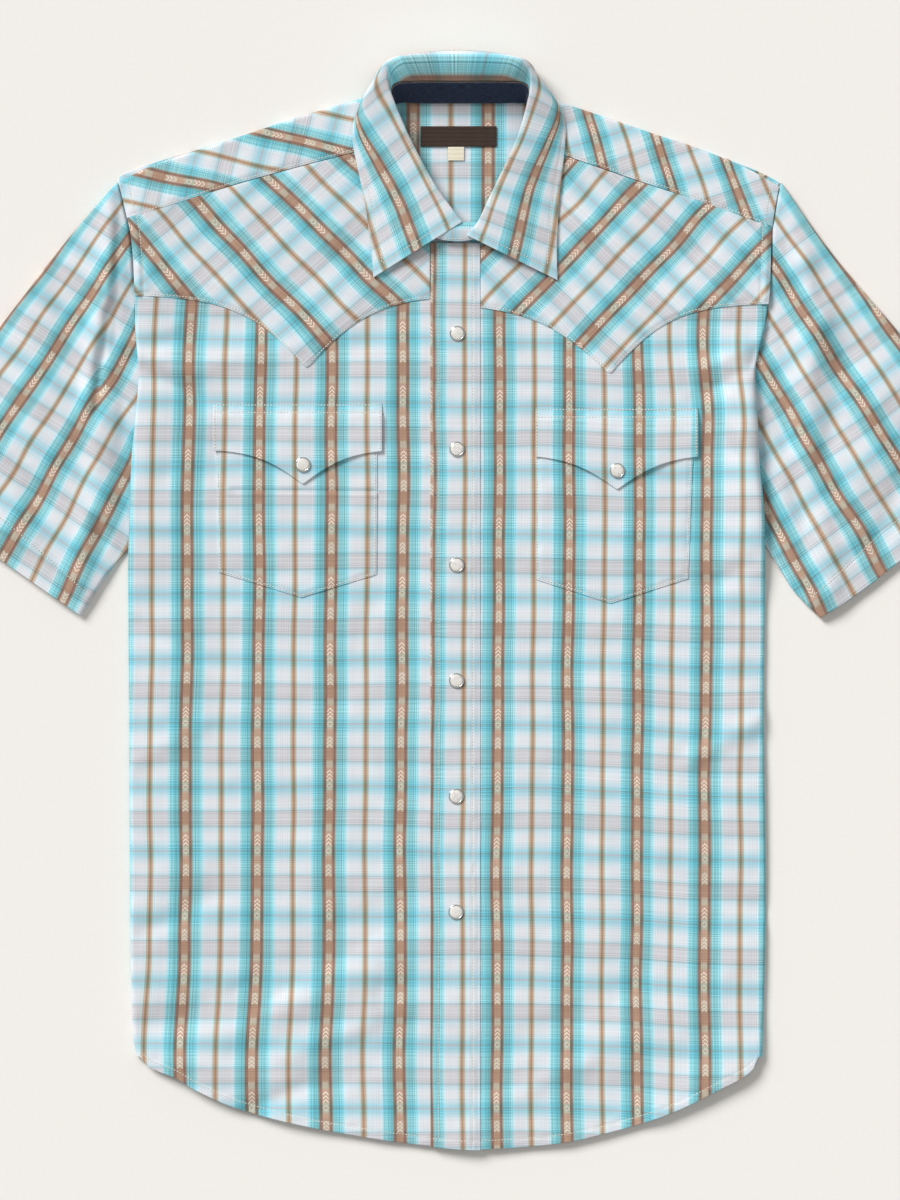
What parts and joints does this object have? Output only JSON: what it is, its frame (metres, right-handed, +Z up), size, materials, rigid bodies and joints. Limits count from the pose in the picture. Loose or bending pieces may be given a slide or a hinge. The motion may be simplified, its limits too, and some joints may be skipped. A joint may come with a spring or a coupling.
{
  "type": "western snap shirt",
  "caption": "Short-sleeved plaid western shirt laid flat, with pointed yokes, flap pockets, a snap placket and a turned-down collar.",
  "frame": {"origin": "centre of the bounding box at its base, on the surface that the shirt lies on", "axes": "+X to the wearer's left, the viewer's right; +Y from the hem to the collar; +Z up, out of the front of the shirt"},
  "size_m": [0.8626, 0.8341, 0.0329],
  "materials": {
    "plaid_body": "plain-woven cotton plaid in turquoise, white and brown, matte",
    "plaid_bias": "the same cotton plaid cut on the bias, matte",
    "plaid_sleeve": "the same cotton plaid, matte",
    "plaid_collar": "the same cotton plaid over a firm interlining, matte",
    "chambray": "navy cotton chambray, matte",
    "label": "plain brown woven label, slight sheen",
    "tab": "plain cream woven tape",
    "snap_metal": "nickel-plated rolled brass ring",
    "pearl": "pearlescent moulded cap, glossy"
  },
  "bodies": {
    "root": {"back_panel": "plaid_body", "back_yoke": "plaid_bias", "yoke_lining": "plaid_body", "front_right": "plaid_body", "front_left": "plaid_body", "front_yoke_right": "plaid_bias", "front_yoke_left": "plaid_bias", "sleeve_right": "plaid_sleeve", "sleeve_left": "plaid_sleeve", "pocket_right": "plaid_body", "pocket_left": "plaid_body", "flap_right": "plaid_body", "flap_left": "plaid_body", "placket": "plaid_body", "collar_stand": "plaid_collar", "stand_band": "chambray", "collar": "plaid_collar", "neck_label": "label", "size_tab": "tab", "snap_1_ring": "snap_metal", "snap_1_pearl": "pearl", "snap_2_ring": "snap_metal", "snap_2_pearl": "pearl", "snap_3_ring": "snap_metal", "snap_3_pearl": "pearl", "snap_4_ring": "snap_metal", "snap_4_pearl": "pearl", "snap_5_ring": "snap_metal", "snap_5_pearl": "pearl", "snap_6_ring": "snap_metal", "snap_6_pearl": "pearl", "pocket_snap_right_ring": "snap_metal", "pocket_snap_right_pearl": "pearl", "pocket_snap_left_ring": "snap_metal", "pocket_snap_left_pearl": "pearl"}
  },
  "joints": []
}
